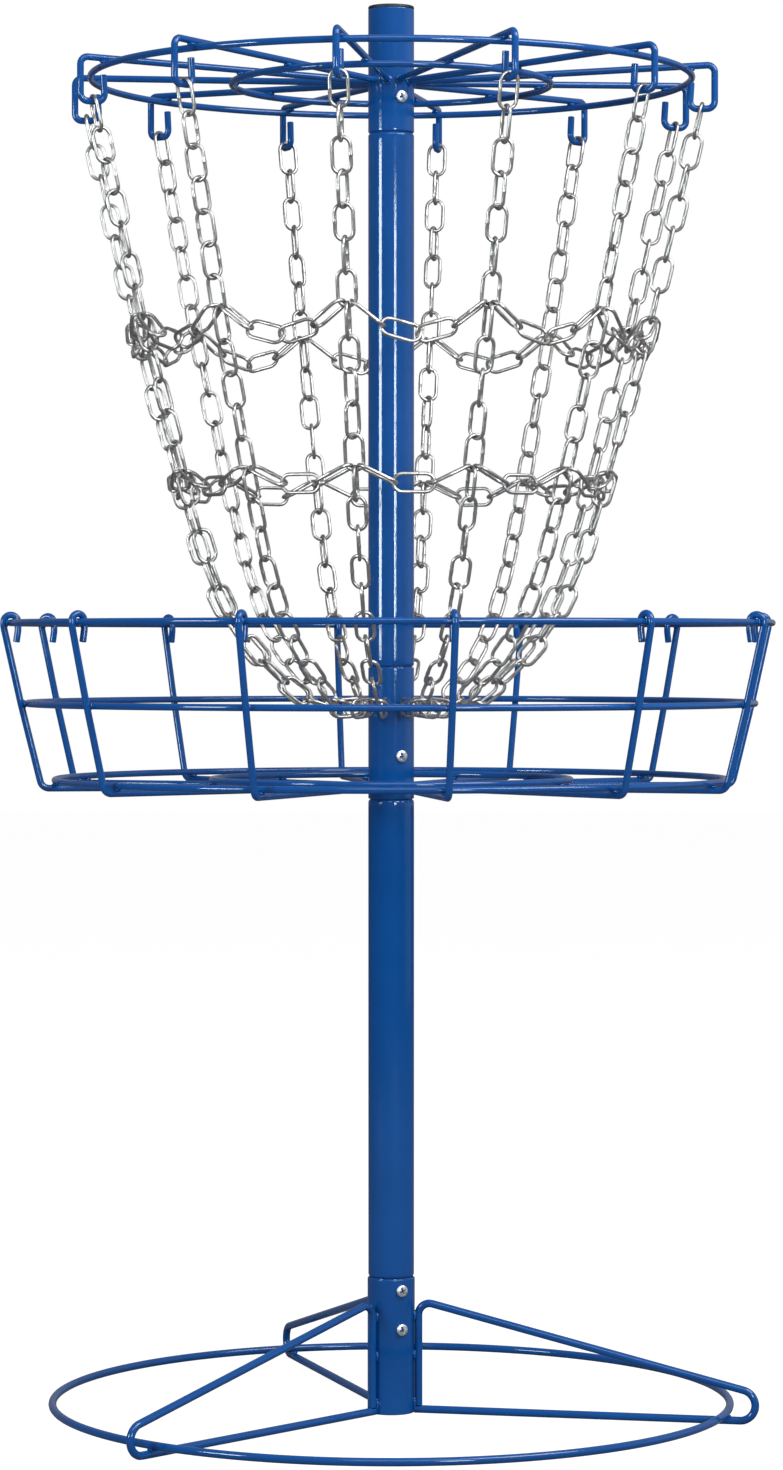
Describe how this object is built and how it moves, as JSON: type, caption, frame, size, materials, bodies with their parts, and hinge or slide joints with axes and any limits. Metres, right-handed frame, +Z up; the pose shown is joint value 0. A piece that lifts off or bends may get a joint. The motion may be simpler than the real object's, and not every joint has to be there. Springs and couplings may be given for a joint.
{
  "type": "disc golf basket",
  "caption": "Free-standing disc golf basket: pole on a round wire base, open wire basket, hooked wire top frame and a funnel of hanging zinc chains tied by cross chains.",
  "frame": {"origin": "on the pole's axis at floor level, the centre of the base", "axes": "+Z up along the pole; -Y is the front, with one leg near +X"},
  "size_m": [0.6806, 0.6806, 1.2403],
  "materials": {
    "blue_paint": "glossy powder coat",
    "black_plastic": "moulded",
    "zinc_chain": "bright zinc plate",
    "zinc_screw": "bright zinc plate"
  },
  "bodies": {
    "root": {"base_sleeve": "blue_paint", "base_leg_1": "blue_paint", "base_leg_2": "blue_paint", "base_leg_3": "blue_paint", "base_ring": "blue_paint", "lower_pole": "blue_paint", "basket_sleeve": "blue_paint", "basket_wire_01": "blue_paint", "basket_wire_02": "blue_paint", "basket_wire_03": "blue_paint", "basket_wire_04": "blue_paint", "basket_wire_05": "blue_paint", "basket_wire_06": "blue_paint", "basket_wire_07": "blue_paint", "basket_wire_08": "blue_paint", "basket_wire_09": "blue_paint", "basket_wire_10": "blue_paint", "basket_wire_11": "blue_paint", "basket_wire_12": "blue_paint", "basket_rim": "blue_paint", "basket_mid_ring": "blue_paint", "basket_floor_ring": "blue_paint", "basket_inner_ring": "blue_paint", "upper_pole": "blue_paint", "top_sleeve": "blue_paint", "top_arm_01": "blue_paint", "top_arm_02": "blue_paint", "top_arm_03": "blue_paint", "top_arm_04": "blue_paint", "top_arm_05": "blue_paint", "top_arm_06": "blue_paint", "top_arm_07": "blue_paint", "top_arm_08": "blue_paint", "top_arm_09": "blue_paint", "top_arm_10": "blue_paint", "top_arm_11": "blue_paint", "top_arm_12": "blue_paint", "top_outer_ring": "blue_paint", "top_inner_ring": "blue_paint", "pole_cap": "black_plastic", "chain_ring": "zinc_chain", "upper_cross_chain": "zinc_chain", "lower_chain_net": "zinc_chain", "screw_top": "zinc_screw", "screw_basket": "zinc_screw", "screw_base_upper": "zinc_screw", "screw_base_lower": "zinc_screw"},
    "chain_01": {"chain_01": "zinc_chain"},
    "chain_02": {"chain_02": "zinc_chain"},
    "chain_03": {"chain_03": "zinc_chain"},
    "chain_04": {"chain_04": "zinc_chain"},
    "chain_05": {"chain_05": "zinc_chain"},
    "chain_06": {"chain_06": "zinc_chain"},
    "chain_07": {"chain_07": "zinc_chain"},
    "chain_08": {"chain_08": "zinc_chain"},
    "chain_09": {"chain_09": "zinc_chain"},
    "chain_10": {"chain_10": "zinc_chain"},
    "chain_11": {"chain_11": "zinc_chain"},
    "chain_12": {"chain_12": "zinc_chain"}
  },
  "joints": [
    {"name": "chain_01_swing", "type": "hinge", "parent": "root", "child": "chain_01", "pos_m": [0.27055, -0.04333, 1.145], "axis": [0.1582, 0.9874, 0], "range_deg": [0, 8]},
    {"name": "chain_02_swing", "type": "hinge", "parent": "root", "child": "chain_02", "pos_m": [0.25597, 0.09775, 1.145], "axis": [-0.3567, 0.9342, 0], "range_deg": [0, 8]},
    {"name": "chain_03_swing", "type": "hinge", "parent": "root", "child": "chain_03", "pos_m": [0.1728, 0.21264, 1.145], "axis": [-0.776, 0.6307, 0], "range_deg": [0, 8]},
    {"name": "chain_04_swing", "type": "hinge", "parent": "root", "child": "chain_04", "pos_m": [0.04333, 0.27055, 1.145], "axis": [-0.9874, 0.1582, 0], "range_deg": [0, 8]},
    {"name": "chain_05_swing", "type": "hinge", "parent": "root", "child": "chain_05", "pos_m": [-0.09775, 0.25597, 1.145], "axis": [-0.9342, -0.3567, 0], "range_deg": [0, 8]},
    {"name": "chain_06_swing", "type": "hinge", "parent": "root", "child": "chain_06", "pos_m": [-0.21264, 0.1728, 1.145], "axis": [-0.6307, -0.776, 0], "range_deg": [0, 8]},
    {"name": "chain_07_swing", "type": "hinge", "parent": "root", "child": "chain_07", "pos_m": [-0.27055, 0.04333, 1.145], "axis": [-0.1582, -0.9874, 0], "range_deg": [0, 8]},
    {"name": "chain_08_swing", "type": "hinge", "parent": "root", "child": "chain_08", "pos_m": [-0.25597, -0.09775, 1.145], "axis": [0.3567, -0.9342, 0], "range_deg": [0, 8]},
    {"name": "chain_09_swing", "type": "hinge", "parent": "root", "child": "chain_09", "pos_m": [-0.1728, -0.21264, 1.145], "axis": [0.776, -0.6307, 0], "range_deg": [0, 8]},
    {"name": "chain_10_swing", "type": "hinge", "parent": "root", "child": "chain_10", "pos_m": [-0.04333, -0.27055, 1.145], "axis": [0.9874, -0.1582, 0], "range_deg": [0, 8]},
    {"name": "chain_11_swing", "type": "hinge", "parent": "root", "child": "chain_11", "pos_m": [0.09775, -0.25597, 1.145], "axis": [0.9342, 0.3567, 0], "range_deg": [0, 8]},
    {"name": "chain_12_swing", "type": "hinge", "parent": "root", "child": "chain_12", "pos_m": [0.21264, -0.1728, 1.145], "axis": [0.6307, 0.776, 0], "range_deg": [0, 8]}
  ]
}
